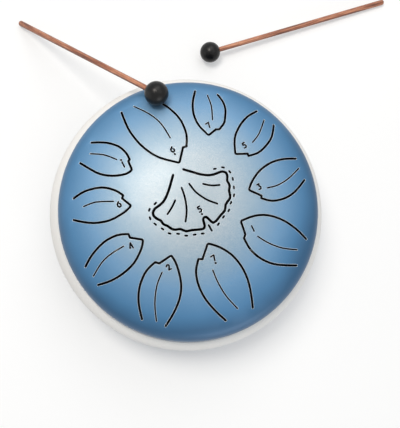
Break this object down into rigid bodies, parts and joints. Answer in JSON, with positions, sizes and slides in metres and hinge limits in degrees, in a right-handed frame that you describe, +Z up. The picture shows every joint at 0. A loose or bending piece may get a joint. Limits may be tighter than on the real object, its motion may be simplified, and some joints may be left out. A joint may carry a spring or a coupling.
{
  "type": "steel tongue drum",
  "caption": "Domed steel tongue drum cut into a ring of numbered tongues around a ginkgo leaf, with a rubber edge band, rubber feet and ball mallets.",
  "frame": {"origin": "on the drum's axis, in the plane of the table that the feet stand on", "axes": "+Z up along the drum's axis; +Y toward the first foot and the top of the picture, +X to the picture's right"},
  "size_m": [0.3169, 0.2996, 0.0978],
  "materials": {
    "blue_paint": "satin metallic lacquer on sheet steel",
    "cream_rubber": "satin",
    "black_rubber": "satin",
    "foot_rubber": "matte",
    "plated_steel": "zinc plated",
    "mallet_wood": "turned and oiled"
  },
  "bodies": {
    "drum": {"top_shell": "blue_paint", "bottom_shell": "blue_paint", "edge_ring": "cream_rubber", "foot_1": "foot_rubber", "foot_2": "foot_rubber", "foot_3": "foot_rubber", "foot_screws": "plated_steel", "foot_washers": "plated_steel", "foot_nuts": "plated_steel"},
    "mallet_1": {"mallet_1_stick": "mallet_wood", "mallet_1_head": "black_rubber"},
    "mallet_2": {"mallet_2_stick": "mallet_wood", "mallet_2_head": "black_rubber"}
  },
  "joints": [
    {"name": "mallet_1_lift", "type": "slide", "parent": "drum", "child": "mallet_1", "axis": [0, 0, 1], "range_m": [0, 0.12]},
    {"name": "mallet_2_lift", "type": "slide", "parent": "drum", "child": "mallet_2", "axis": [0, 0, 1], "range_m": [0, 0.12]}
  ]
}
